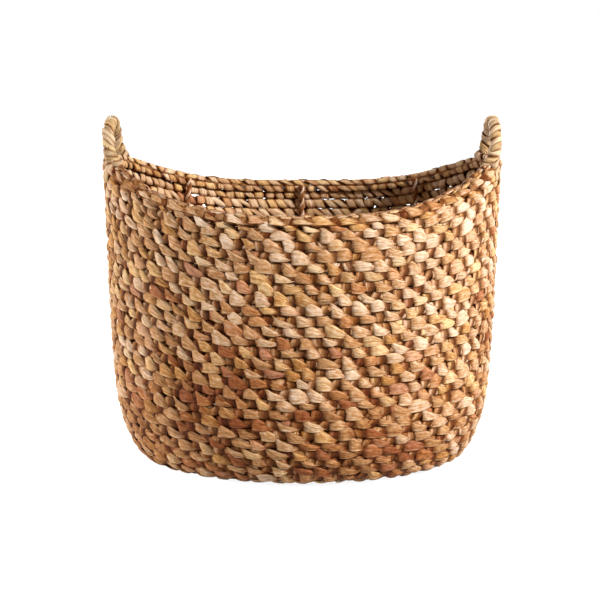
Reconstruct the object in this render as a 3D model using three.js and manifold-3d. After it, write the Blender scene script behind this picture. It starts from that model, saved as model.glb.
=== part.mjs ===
// Oval woven basket on a rod frame, with two upright handles at its ends.
// Millimetres, +Z up. X is the long side, Y the short one, and the floor is at z = 0.
import * as THREE from "three";
import Module from "manifold-3d";

// Rim and base ovals, measured to the middle of the woven wall.
const RIM_HALF_LENGTH = 241;
const RIM_HALF_DEPTH = 179;
const BASE_HALF_LENGTH = 190;
const BASE_HALF_DEPTH = 128;
const RIM_HEIGHT_MIDDLE = 334;
const RIM_RISE_AT_ENDS = 52;
const RIM_RISE_POWER = 2.5;

// Woven rows.
const WALL_THICKNESS = 13;
const WALL_ROWS = 26;
const BASE_ROWS = 7;
const BASE_ROW_SHARE = 0.1234;
const GAP = 0.3;
const ROW_SHOULDER = 0.23;

// The wall's middle line from the base's edge to the rim, as shares of its reach and its height.
const PROFILE_SHARES = [
  [0, 0],
  [0.096, 0.003],
  [0.26, 0.017],
  [0.522, 0.08],
  [0.74, 0.181],
  [0.863, 0.356],
  [0.92, 0.529],
  [0.95, 0.704],
  [1, 1],
];

// Binding over the rim hoop.
const BINDING_HEIGHT = 15;
const BINDING_INNER_LEG = 6;
const BINDING_SHARES = {
  outerFoot: 0.2,
  outerLow: 0.25,
  outerHigh: 0.7,
  crownOut: 0.3,
  crownIn: 0.35,
  innerHigh: 0.75,
  innerLow: 0.35,
  innerFoot: 0.15,
};

// Rods.
const HOOP_DIAMETER = 5;
const STAKE_DIAMETER = 4;
const STAKES = 8;
const BASE_ROD_DIAMETER = 4;
const BASE_ROD_SHARE = 0.316;
const HANDLE_ROD_DIAMETER = 5;

// Handles.
const HANDLE_HALF_WIDTH = 46;
const HANDLE_TOP = 426;
const HANDLE_LEAN = 12.5;
const HANDLE_LEAN_POWER = 4;
const HANDLE_SQUARENESS = 0.85;
const HANDLE_SLOPE_SHARE = 0.13;
const WRAP_DIAMETER = 17;
const WRAP_SINK = 5;

// Fineness of the shapes.
const RING_STATIONS = 32;
const ROD_SIDES = 6;
const HANDLE_STATIONS = 14;
const WRAP_SIDES = 8;
const STAKE_STEP = 4;

const HALF = 0.5;
const FULL_TURN = 2 * Math.PI;
const UP = new THREE.Vector3(0, 0, 1);
const ACROSS = new THREE.Vector3(1, 0, 0);

const ROD = { color: 0x3a2c22, roughness: 0.6, metalness: 0.4 };
const WEAVE = { color: 0xa67b54, roughness: 0.85, metalness: 0 };
const BINDING = { color: 0xb18a60, roughness: 0.85, metalness: 0 };
const WRAP = { color: 0xcdb18c, roughness: 0.8, metalness: 0 };

const lerp = THREE.MathUtils.lerp;

// Height of the rim's top at an angle round the oval.
function rimHeight(theta) {
  return RIM_HEIGHT_MIDDLE + RIM_RISE_AT_ENDS * Math.pow(Math.abs(Math.cos(theta)), RIM_RISE_POWER);
}

// A point of an oval, with the oval's outward normal there.
function ovalPoint(theta, halfLength, halfDepth, z) {
  const c = Math.cos(theta);
  const s = Math.sin(theta);
  const point = new THREE.Vector3(halfLength * c, halfDepth * s, z);
  const normal = new THREE.Vector3(c / halfLength, s / halfDepth, 0).normalize();
  return { point, normal };
}

// Evenly spaced levels of the wall's middle line: [share of the reach, share of the height].
function wallLevels() {
  const reach = RIM_HALF_LENGTH - BASE_HALF_LENGTH;
  const height = RIM_HEIGHT_MIDDLE - BINDING_HEIGHT - WALL_THICKNESS * HALF;
  const points = PROFILE_SHARES.map(([out, up]) => new THREE.Vector3(out * reach, up * height, 0));
  const curve = new THREE.CatmullRomCurve3(points, false, "centripetal");
  return curve.getSpacedPoints(WALL_ROWS).map((p) => [p.x / reach, p.y / height]);
}

const LEVELS = wallLevels();

// Level of the wall: a whole number is a seam between two rows, a negative one lies in the base.
function middleAt(level, theta) {
  const low = WALL_THICKNESS * HALF;
  if (level <= 0) {
    const inward = level * BASE_HALF_DEPTH * BASE_ROW_SHARE;
    return ovalPoint(theta, BASE_HALF_LENGTH + inward, BASE_HALF_DEPTH + inward, low);
  }
  const below = Math.min(Math.floor(level), WALL_ROWS - 1);
  const part = level - below;
  const out = lerp(LEVELS[below][0], LEVELS[below + 1][0], part);
  const up = lerp(LEVELS[below][1], LEVELS[below + 1][1], part);
  const halfLength = lerp(BASE_HALF_LENGTH, RIM_HALF_LENGTH, out);
  const halfDepth = lerp(BASE_HALF_DEPTH, RIM_HALF_DEPTH, out);
  const top = rimHeight(theta) - BINDING_HEIGHT;
  return ovalPoint(theta, halfLength, halfDepth, lerp(low, top, up));
}

// The row between two levels: both seams, the way across the row and its outward direction.
function rowFrame(level, theta) {
  const lower = middleAt(level, theta);
  const upper = middleAt(level + 1, theta);
  const step = upper.point.clone().sub(lower.point);
  const sideways = step.dot(lower.normal);
  const outward = lower.normal.clone().multiplyScalar(step.z).addScaledVector(UP, -sideways).normalize();
  return { lower: lower.point, upper: upper.point, along: step.clone().normalize(), outward };
}

// A closed solid through loops of points. Closed lofts join the last loop to the first.
function loft(loops, closed) {
  const count = loops[0].length;
  const points = loops.flat();
  const index = [];
  const spans = closed ? loops.length : loops.length - 1;
  for (let i = 0; i < spans; i++) {
    const here = i * count;
    const next = ((i + 1) % loops.length) * count;
    for (let j = 0; j < count; j++) {
      const k = (j + 1) % count;
      index.push(here + j, next + j, next + k);
      index.push(here + j, next + k, here + k);
    }
  }
  if (!closed) {
    const last = (loops.length - 1) * count;
    for (let j = 1; j < count - 1; j++) {
      index.push(0, j, j + 1);
      index.push(last, last + j + 1, last + j);
    }
  }
  return facingOut(points, index);
}

// Turns a mesh the right way out by the sign of its volume.
function facingOut(points, index) {
  let volume = 0;
  const cross = new THREE.Vector3();
  for (let i = 0; i < index.length; i += 3) {
    cross.crossVectors(points[index[i + 1]], points[index[i + 2]]);
    volume += points[index[i]].dot(cross);
  }
  if (volume < 0) {
    index.reverse();
  }
  const geometry = new THREE.BufferGeometry();
  const values = points.flatMap((p) => [p.x, p.y, p.z]);
  geometry.setAttribute("position", new THREE.Float32BufferAttribute(values, 3));
  geometry.setIndex(index);
  geometry.computeVertexNormals();
  return geometry;
}

function ringAngles() {
  return Array.from({ length: RING_STATIONS }, (_, i) => (FULL_TURN * i) / RING_STATIONS);
}

// One woven row, with a six-sided section whose two sharp edges meet its neighbours.
function rowGeometry(level) {
  const reach = WALL_THICKNESS * HALF;
  const loops = ringAngles().map((theta) => {
    const { lower, upper, along, outward } = rowFrame(level, theta);
    const at = (share, side) => lower.clone().lerp(upper, share).addScaledVector(outward, side * reach);
    return [
      lower.clone().addScaledVector(along, GAP * HALF),
      at(ROW_SHOULDER, 1),
      at(1 - ROW_SHOULDER, 1),
      upper.clone().addScaledVector(along, -GAP * HALF),
      at(1 - ROW_SHOULDER, -1),
      at(ROW_SHOULDER, -1),
    ];
  });
  return loft(loops, true);
}

// The long oval pad at the middle of the base, flat above and below.
function coreGeometry() {
  const edge = -BASE_ROWS;
  const inset = -ROW_SHOULDER;
  const atHeight = (level, z) => ringAngles().map((theta) => middleAt(level, theta).point.setZ(z));
  const rim = ringAngles().map((theta) => {
    const { point, normal } = middleAt(edge, theta);
    return point.addScaledVector(normal, -GAP * HALF);
  });
  return loft([atHeight(edge + inset, 0), rim, atHeight(edge + inset, WALL_THICKNESS)], false);
}

// Frame of the rim: its seam with the top row, and its outward normal.
function rimFrame(theta) {
  const { point, normal } = middleAt(WALL_ROWS, theta);
  return { point, normal };
}

function rimPoint(theta, outward, up) {
  const { point, normal } = rimFrame(theta);
  return point.addScaledVector(normal, outward).addScaledVector(UP, up);
}

// Places across the rim, outward from the wall's middle line.
const RIM_OUTER = WALL_THICKNESS * HALF;
const HOOP_LINE = -RIM_OUTER - GAP - HOOP_DIAMETER * HALF;
const CHANNEL_HALF = HOOP_DIAMETER * HALF + GAP;
const CHANNEL_OUTER = HOOP_LINE + CHANNEL_HALF;
const CHANNEL_INNER = HOOP_LINE - CHANNEL_HALF;
const RIM_INNER = CHANNEL_INNER - BINDING_INNER_LEG;
const CHANNEL_TOP = BINDING_HEIGHT * HALF + GAP;
const HOOP_HEIGHT = CHANNEL_TOP - CHANNEL_HALF;

// Outline of the binding without its channel, grown outward by a margin.
function bindingOutline(margin) {
  const outerLeg = RIM_OUTER - CHANNEL_OUTER;
  const width = RIM_OUTER - RIM_INNER;
  const share = BINDING_SHARES;
  const top = BINDING_HEIGHT + margin;
  return {
    outer: [
      [RIM_OUTER - outerLeg * share.outerFoot, GAP - margin],
      [RIM_OUTER + margin, BINDING_HEIGHT * share.outerLow],
      [RIM_OUTER + margin, BINDING_HEIGHT * share.outerHigh],
      [RIM_OUTER - width * share.crownOut, top],
      [RIM_INNER + width * share.crownIn, top],
      [RIM_INNER - margin, BINDING_HEIGHT * share.innerHigh],
      [RIM_INNER - margin, BINDING_HEIGHT * share.innerLow],
      [RIM_INNER + BINDING_INNER_LEG * HALF, BINDING_HEIGHT * share.innerFoot - margin],
    ],
  };
}

// The binding: an upturned channel over the rim hoop.
function bindingGeometry() {
  const channel = [
    [CHANNEL_INNER, BINDING_HEIGHT * BINDING_SHARES.innerFoot],
    [CHANNEL_INNER, CHANNEL_TOP],
    [CHANNEL_OUTER, CHANNEL_TOP],
    [CHANNEL_OUTER, GAP],
  ];
  const section = [...bindingOutline(0).outer, ...channel];
  return loft(ringAngles().map((theta) => section.map(([r, h]) => rimPoint(theta, r, h))), true);
}

// The same shape without the channel and one gap larger, to cut what sits on the rim.
function bindingEnvelope() {
  const section = bindingOutline(GAP).outer;
  return loft(ringAngles().map((theta) => section.map(([r, h]) => rimPoint(theta, r, h))), true);
}

// A point on the straight side between two stations of a ring, so that a rod clears its facets.
function onFacet(theta, pointAt) {
  const turns = (((theta % FULL_TURN) + FULL_TURN) % FULL_TURN) / FULL_TURN * RING_STATIONS;
  const station = Math.floor(turns);
  const from = pointAt((FULL_TURN * station) / RING_STATIONS);
  const to = pointAt((FULL_TURN * (station + 1)) / RING_STATIONS);
  return from.lerp(to, turns - station);
}

// A circle of points round a centre, square to a direction. No rod runs along X, so X guides it.
function circle(centre, direction, radius, sides) {
  const u = new THREE.Vector3().crossVectors(direction, ACROSS).normalize();
  const v = new THREE.Vector3().crossVectors(direction, u).normalize();
  return Array.from({ length: sides }, (_, i) => {
    const angle = (FULL_TURN * i) / sides;
    const point = centre.clone();
    point.addScaledVector(u, radius * Math.cos(angle));
    return point.addScaledVector(v, radius * Math.sin(angle));
  });
}

// A hoop that follows the oval: its section is square to the oval at each station.
function hoopGeometry(lineAt) {
  const radius = HOOP_DIAMETER * HALF;
  const loops = ringAngles().map((theta) => {
    const { point, normal } = lineAt(theta);
    return Array.from({ length: ROD_SIDES }, (_, i) => {
      const angle = (FULL_TURN * i) / ROD_SIDES;
      const out = radius * Math.cos(angle);
      return point.clone().addScaledVector(normal, out).addScaledVector(UP, radius * Math.sin(angle));
    });
  });
  return loft(loops, true);
}

function rimHoopLine(theta) {
  const { normal } = rimFrame(theta);
  return { point: rimPoint(theta, HOOP_LINE, HOOP_HEIGHT), normal };
}

// The base hoop lies on the woven bottom, just inside the foot of the wall.
const BASE_HOOP_INSET = WALL_THICKNESS * HALF + HOOP_DIAMETER * HALF + GAP;
const BASE_HOOP_HEIGHT = WALL_THICKNESS + HOOP_DIAMETER * HALF + GAP;

function baseHoopLine(theta) {
  const halfLength = BASE_HALF_LENGTH - BASE_HOOP_INSET;
  const halfDepth = BASE_HALF_DEPTH - BASE_HOOP_INSET;
  return ovalPoint(theta, halfLength, halfDepth, BASE_HOOP_HEIGHT);
}

// Angle on the rim's oval after a share of its full length, counted from the back's middle.
function angleAtShare(share) {
  const curve = new THREE.EllipseCurve(0, 0, RIM_HALF_LENGTH, RIM_HALF_DEPTH);
  const quarter = 0.25;
  const p = curve.getPointAt((share + quarter) % 1);
  return Math.atan2(p.y / RIM_HALF_DEPTH, p.x / RIM_HALF_LENGTH);
}

// Round sections along a line of points, each square to the line.
function circlesAlong(points, radius, sides) {
  return points.map((point, i) => {
    const before = points[Math.max(i - 1, 0)];
    const after = points[Math.min(i + 1, points.length - 1)];
    return circle(point, after.clone().sub(before).normalize(), radius, sides);
  });
}

function rodGeometry(points, diameter, sides) {
  return loft(circlesAlong(points, diameter * HALF, sides), false);
}

// A stake runs up the inside of the wall, from the base hoop to the rim hoop.
function stakeGeometry(theta) {
  const inset = WALL_THICKNESS * HALF + STAKE_DIAMETER * HALF + GAP;
  const floor = BASE_HOOP_HEIGHT + HOOP_DIAMETER * HALF + GAP;
  const ceiling = HOOP_HEIGHT - HOOP_DIAMETER * HALF - GAP;
  const foot = onFacet(theta, (angle) => baseHoopLine(angle).point).setZ(floor + STAKE_DIAMETER * HALF);
  const points = [foot];
  for (let level = 1; level < WALL_ROWS - 1; level += STAKE_STEP) {
    const point = onFacet(theta, (angle) => {
      const { lower, upper, outward } = rowFrame(level, angle);
      return lower.clone().lerp(upper, HALF).addScaledVector(outward, -inset);
    });
    if (point.z > foot.z + STAKE_DIAMETER) {
      points.push(point);
    }
  }
  points.push(onFacet(theta, (angle) => rimPoint(angle, HOOP_LINE, ceiling)));
  return rodGeometry(points, STAKE_DIAMETER, ROD_SIDES);
}

// A base rod lies across the woven bottom, between the two sides of the base hoop.
function baseRodGeometry(x) {
  const halfLength = BASE_HALF_LENGTH - BASE_HOOP_INSET;
  const halfDepth = BASE_HALF_DEPTH - BASE_HOOP_INSET;
  const edge = halfDepth * Math.sqrt(1 - (x / halfLength) ** 2);
  const reach = edge - HOOP_DIAMETER - GAP;
  const z = WALL_THICKNESS + GAP + BASE_ROD_DIAMETER * HALF;
  const ends = [new THREE.Vector3(x, -reach, z), new THREE.Vector3(x, reach, z)];
  return rodGeometry(ends, BASE_ROD_DIAMETER, ROD_SIDES);
}

// Middle line of a handle: a squarish arch that rises from the rim hoop and soon leans outward.
function handleLine(side) {
  const y = HANDLE_HALF_WIDTH;
  const theta = Math.asin(y / (RIM_HALF_DEPTH + HOOP_LINE));
  const base = rimPoint(theta, HOOP_LINE, BINDING_HEIGHT - WRAP_SINK);
  const rise = HANDLE_TOP - base.z;
  return Array.from({ length: HANDLE_STATIONS + 1 }, (_, i) => {
    const angle = (Math.PI * i) / HANDLE_STATIONS;
    const across = Math.sign(Math.cos(angle)) * Math.pow(Math.abs(Math.cos(angle)), HANDLE_SQUARENESS);
    const up = Math.pow(Math.abs(Math.sin(angle)), HANDLE_SQUARENESS);
    const lean = HANDLE_LEAN * (1 - Math.pow(1 - up, HANDLE_LEAN_POWER));
    return new THREE.Vector3(side * (base.x + lean), y * across, base.z + rise * up);
  });
}

// The same line with straight legs that end at a height above the binding's foot.
function legLine(side, height) {
  const line = handleLine(side);
  const drop = height - (BINDING_HEIGHT - WRAP_SINK);
  const first = line[0].clone().addScaledVector(UP, drop);
  const last = line[line.length - 1].clone().addScaledVector(UP, drop);
  return [first, ...line, last];
}

// The rod inside a handle stands on the rim hoop.
function handleRodGeometry(side) {
  const slopeRoom = HANDLE_ROD_DIAMETER * HANDLE_SLOPE_SHARE;
  const foot = HOOP_HEIGHT + HOOP_DIAMETER * HALF + GAP + slopeRoom;
  return rodGeometry(legLine(side, foot), HANDLE_ROD_DIAMETER, WRAP_SIDES);
}

// The wrap is a pipe round the handle's rod, open at both feet.
function wrapGeometry(side) {
  const line = legLine(side, CHANNEL_TOP);
  const rings = (radius) => circlesAlong(line, radius, WRAP_SIDES).slice(1, -1);
  const outside = rings(WRAP_DIAMETER * HALF);
  const inside = rings(HANDLE_ROD_DIAMETER * HALF + GAP).reverse();
  const loops = Array.from({ length: WRAP_SIDES }, (_, j) => [
    ...outside.map((ring) => ring[j]),
    ...inside.map((ring) => ring[j]),
  ]);
  return loft(loops, true);
}

const wasm = await Module();
wasm.setup();

function toManifold(geometry) {
  return new wasm.Manifold(new wasm.Mesh({
    numProp: 3,
    vertProperties: new Float32Array(geometry.attributes.position.array),
    triVerts: new Uint32Array(geometry.index.array),
  }));
}

function fromManifold(solid) {
  const mesh = solid.getMesh();
  const geometry = new THREE.BufferGeometry();
  geometry.setAttribute("position", new THREE.BufferAttribute(mesh.vertProperties, mesh.numProp));
  geometry.setIndex(new THREE.BufferAttribute(mesh.triVerts, 1));
  geometry.computeVertexNormals();
  return geometry;
}

// The binding has a hole for each leg of the handle rods.
function boredBinding() {
  let solid = toManifold(bindingGeometry());
  for (const side of [-1, 1]) {
    const line = legLine(side, CHANNEL_TOP - HANDLE_ROD_DIAMETER * HALF);
    const bore = rodGeometry(line, HANDLE_ROD_DIAMETER + 2 * GAP, WRAP_SIDES);
    solid = solid.subtract(toManifold(bore));
  }
  return fromManifold(solid);
}

function seatedWrap(side, envelope) {
  return fromManifold(toManifold(wrapGeometry(side)).subtract(envelope));
}

function meshOf(name, geometry, look) {
  const mesh = new THREE.Mesh(geometry, new THREE.MeshStandardMaterial(look));
  mesh.name = name;
  return mesh;
}

function build() {
  const group = new THREE.Group();
  group.name = "woven_basket";
  const add = (name, geometry, look) => group.add(meshOf(name, geometry, look));

  add("rim_hoop", hoopGeometry(rimHoopLine), ROD);
  add("base_hoop", hoopGeometry(baseHoopLine), ROD);
  [-1, 1].forEach((side, i) => {
    add(`base_rod_${i + 1}`, baseRodGeometry(side * BASE_HALF_LENGTH * BASE_ROD_SHARE), ROD);
  });
  for (let i = 0; i < STAKES; i++) {
    add(`stake_${i + 1}`, stakeGeometry(angleAtShare(i / STAKES)), ROD);
  }

  add("base_core", coreGeometry(), WEAVE);
  for (let i = 0; i < BASE_ROWS; i++) {
    add(`base_row_${i + 1}`, rowGeometry(i - BASE_ROWS), WEAVE);
  }
  for (let i = 0; i < WALL_ROWS; i++) {
    add(`wall_row_${String(i + 1).padStart(2, "0")}`, rowGeometry(i), WEAVE);
  }

  add("rim_binding", boredBinding(), BINDING);
  const envelope = toManifold(bindingEnvelope());
  for (const [side, word] of [[-1, "left"], [1, "right"]]) {
    add(`handle_rod_${word}`, handleRodGeometry(side), ROD);
    add(`handle_wrap_${word}`, seatedWrap(side, envelope), WRAP);
  }
  return group;
}

export default build();
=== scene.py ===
# %% [markdown]
# # A woven plant-fibre basket
# The real basket is woven from flattened stems over a frame of thin rods: rows of strand go
# round an oval wall whose rim is high at its two ends, and a wound handle stands on each end.
# A smooth wall with the weave in its material only would look flat at its outline and in its
# gaps, so here every strand is geometry. It is built as a weaver would build it: each row is
# a cord, painted dark as the shade in its gaps, short bands wound round it, and flat leaves
# that lie over the outside. Lengths are in millimetres until a mesh is written.

# %% Frame
import math

import bpy
import numpy as np
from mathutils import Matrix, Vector


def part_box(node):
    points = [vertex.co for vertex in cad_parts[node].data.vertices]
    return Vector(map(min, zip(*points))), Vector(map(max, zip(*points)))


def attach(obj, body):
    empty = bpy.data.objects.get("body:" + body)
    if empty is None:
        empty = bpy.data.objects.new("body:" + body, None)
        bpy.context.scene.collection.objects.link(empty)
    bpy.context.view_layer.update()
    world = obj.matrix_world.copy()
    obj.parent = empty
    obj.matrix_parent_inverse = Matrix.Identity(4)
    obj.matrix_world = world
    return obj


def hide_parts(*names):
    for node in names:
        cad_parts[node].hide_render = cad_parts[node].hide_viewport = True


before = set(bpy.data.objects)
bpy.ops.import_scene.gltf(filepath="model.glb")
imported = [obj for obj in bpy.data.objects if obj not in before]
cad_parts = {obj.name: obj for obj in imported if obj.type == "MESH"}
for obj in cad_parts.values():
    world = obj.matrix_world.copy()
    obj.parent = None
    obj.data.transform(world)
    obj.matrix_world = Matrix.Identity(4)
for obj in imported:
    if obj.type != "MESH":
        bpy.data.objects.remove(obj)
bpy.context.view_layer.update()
MM = 0.001
scene = bpy.context.scene

# %% [markdown]
# ## The wall's sizes
# The wall has 26 rows between a rounded foot and a rim that rises at both ends. Its sizes
# could be measured on the CAD solids, but a measured number doesn't say what it stands for,
# so the few driving sizes are named here again. They are the CAD part's, but for RISE_POWER:
# the real rim is flatter in its middle than the solid one. PROFILE_SHARES is the wall's
# middle line from the base to the rim, as shares of its reach sideways and of its height.

# %% Sizes
RIM_HALF = (241.0, 179.0)
BASE_HALF = (190.0, 128.0)
RIM_MIDDLE = 334.0
RIM_RISE = 52.0
RISE_POWER = 3.0
THICKNESS = 13.0
WALL_ROWS = 26
BASE_ROWS = 7
BASE_ROW_WIDTH = 15.8
BINDING = 15.0
GAP = 0.3
HOOP = 5.0
PROFILE_SHARES = np.array([(0, 0), (0.096, 0.003), (0.26, 0.017), (0.522, 0.08), (0.74, 0.181),
                           (0.863, 0.356), (0.92, 0.529), (0.95, 0.704), (1, 1)])
print("rim", [2 * half for half in RIM_HALF], "mm, base", [2 * half for half in BASE_HALF], "mm")

# %% [markdown]
# ## Seams between the rows
# Strands of one thickness make rows of one height, so the seams lie at even steps along the
# wall's curve. A Bezier object could draw the curve, but a formula can be measured and
# divided at once, so the profile's points are joined by cubic spans here.

# %% Seams
SPAN_STEPS = 200


def even_seams(profile, reach, height):
    """Even steps along a centripetal Catmull-Rom curve, as shares of reach and height.

    Each span is the cubic from p1 to p2 with end slopes m1 and m2, where for spacings
    d = sqrt(distance): m1 = d1 ((p1 - p0) / d0 - (p2 - p0) / (d0 + d1) + (p2 - p1) / d1).
    """
    p = profile * [reach, height]
    p = np.vstack([2 * p[0] - p[1], p, 2 * p[-1] - p[-2]])
    d = np.sqrt(np.linalg.norm(np.diff(p, axis=0), axis=1))[:, None]
    p0, p1, p2, p3 = p[:-3], p[1:-2], p[2:-1], p[3:]
    d0, d1, d2 = d[:-2], d[1:-1], d[2:]
    m1 = d1 * ((p1 - p0) / d0 - (p2 - p0) / (d0 + d1) + (p2 - p1) / d1)
    m2 = d1 * ((p2 - p1) / d1 - (p3 - p1) / (d1 + d2) + (p3 - p2) / d2)
    t = np.linspace(0, 1, SPAN_STEPS, endpoint=False)[None, :, None]
    p1, p2, m1, m2 = (v[:, None] for v in (p1, p2, m1, m2))
    curve = p1 + t * m1 + t ** 2 * (3 * (p2 - p1) - 2 * m1 - m2) + t ** 3 * (2 * (p1 - p2) + m1 + m2)
    line = np.vstack([curve.reshape(-1, 2), p[-2:-1]])
    run = np.concatenate([[0], np.cumsum(np.linalg.norm(np.diff(line, axis=0), axis=1))])
    at = np.linspace(0, run[-1], WALL_ROWS + 1)
    return np.stack([np.interp(at, run, line[:, k]) for k in (0, 1)], -1) / [reach, height]


LEVELS = even_seams(PROFILE_SHARES, RIM_HALF[0] - BASE_HALF[0], RIM_MIDDLE - BINDING - THICKNESS / 2)
print("lowest seams:", LEVELS[:4].round(4).tolist())

# %% [markdown]
# ## The oval wall
# Every seam of the real basket is an oval, and the upper ones rise towards the two ends with
# the rim. So a seam is an ellipse whose height changes round it: each seam climbs by its own
# share of the rim's height at that place, which spreads the rise evenly over the rows.


# %% Oval and middle line
def rim_height(theta):
    """Height of the rim: middle + rise |cos(theta)|^RISE_POWER."""
    return RIM_MIDDLE + RIM_RISE * np.abs(np.cos(theta)) ** RISE_POWER


def oval(theta, half_length, half_depth, z):
    """Points of an ellipse at height z and its outward normals, both (..., 3)."""
    c, s = np.cos(theta), np.sin(theta)
    point = np.stack([half_length * c, half_depth * s, z + 0 * c], axis=-1)
    normal = np.stack([c / half_length, s / half_depth, 0 * c], axis=-1)
    return point, normal / np.linalg.norm(normal, axis=-1, keepdims=True)


def middle(level, theta):
    """The wall's middle line at a seam, whole or in between. Negative seams lie in the base."""
    low = THICKNESS / 2
    if level <= 0:
        inward = level * BASE_ROW_WIDTH
        return oval(theta, BASE_HALF[0] + inward, BASE_HALF[1] + inward, low)
    out, up = (np.interp(level, np.arange(WALL_ROWS + 1), LEVELS[:, k]) for k in (0, 1))
    halves = [b + (r - b) * out for b, r in zip(BASE_HALF, RIM_HALF)]
    top = rim_height(theta) - BINDING
    return oval(theta, *halves, low + (top - low) * up)


print("rim heights, middle and end:", [float(rim_height(turn)) for turn in (math.pi / 2, 0)])

# %% [markdown]
# ## Strips
# A strand bends with the wall, round the oval and over its bulge. It could be modelled
# straight and bent by a Curve modifier, but thousands of strands would need as many
# modifiers. So each strand is described by three lengths: s along its row, a across the row
# and r out of the wall. A Strip turns whole arrays of them into points.

# %% Strips
THETA = np.linspace(-np.pi, np.pi, 2049)
UP = np.array([0, 0, 1.0])
PITCH = 12.6
SLOPE_UP, SLOPE_OUT = 0.6, 0.8


class Strip:
    """A line with two directions at each point, measured along its length in millimetres."""

    def __init__(self, centre, across, outward, closed=True):
        self.centre, self.across, self.outward, self.closed = centre, across, outward, closed
        lengths = np.linalg.norm(np.diff(centre, axis=0), axis=1)
        self.s = np.concatenate([[0], np.cumsum(lengths)])
        self.length = self.s[-1]

    def read(self, table, s):
        """The rows of a table at s along the strip, between its stations in a straight line."""
        return np.stack([np.interp(s, self.s, table[:, i]) for i in range(3)], -1)

    def points(self, s, a, r):
        """centre(s) + a across(s) + r outward(s). On a closed strip s goes round."""
        s = np.mod(s, self.length) if self.closed else np.clip(s, 0, self.length)
        sideways = self.read(self.across, s) * a[..., None]
        return self.read(self.centre, s) + sideways + self.read(self.outward, s) * r[..., None]


def unit_length(v):
    """Each vector divided by its own length."""
    return v / np.linalg.norm(v, axis=-1, keepdims=True)


def row_strip(level):
    """The band of wall between two seams. Rows lower than PITCH squeeze their strands."""
    low, normal = middle(level, THETA)
    high, _ = middle(level + 1, THETA)
    step = high - low
    sideways = (step * normal).sum(-1, keepdims=True)
    return Strip((low + high) / 2, step / PITCH, unit_length(normal * step[:, 2:3] - UP * sideways))


def rim_strip(out, up, sloping=False):
    """A line along the rim, out and up from its seam with the top row.

    It faces outward, and a sloping one faces up and out.
    """
    seam, normal = middle(WALL_ROWS, THETA)
    raised = np.broadcast_to(UP, seam.shape)
    across, outward = raised, normal
    if sloping:
        across = SLOPE_OUT * raised - SLOPE_UP * normal
        outward = SLOPE_UP * raised + SLOPE_OUT * normal
    return Strip(seam + normal * out + UP * up, across, outward)


for word, level in (("lowest", 0), ("highest", WALL_ROWS - 1)):
    print(word, "row:", round(float(row_strip(level).length)), "mm round")

# %% [markdown]
# ## Meshes from grids
# The skin of a strand is a grid of points that wraps round on itself. Instances of one strand
# would be lighter, but no two real ones are alike, so each gets a grid of its own. All
# strands of one kind in a row are one array (strand, i, j, 3), which a Pile collects and
# writes as one mesh. The grain runs along the first UV axis, in millimetres.

# %% Grids
SHARP_ANGLE = math.radians(30)
# tone and age are a strand's own; the other two values are painted shade and painted highlight.
VALUE_NAMES = ("tone", "age", "painted_light", "edge")
NO_CORNER = -1


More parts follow.
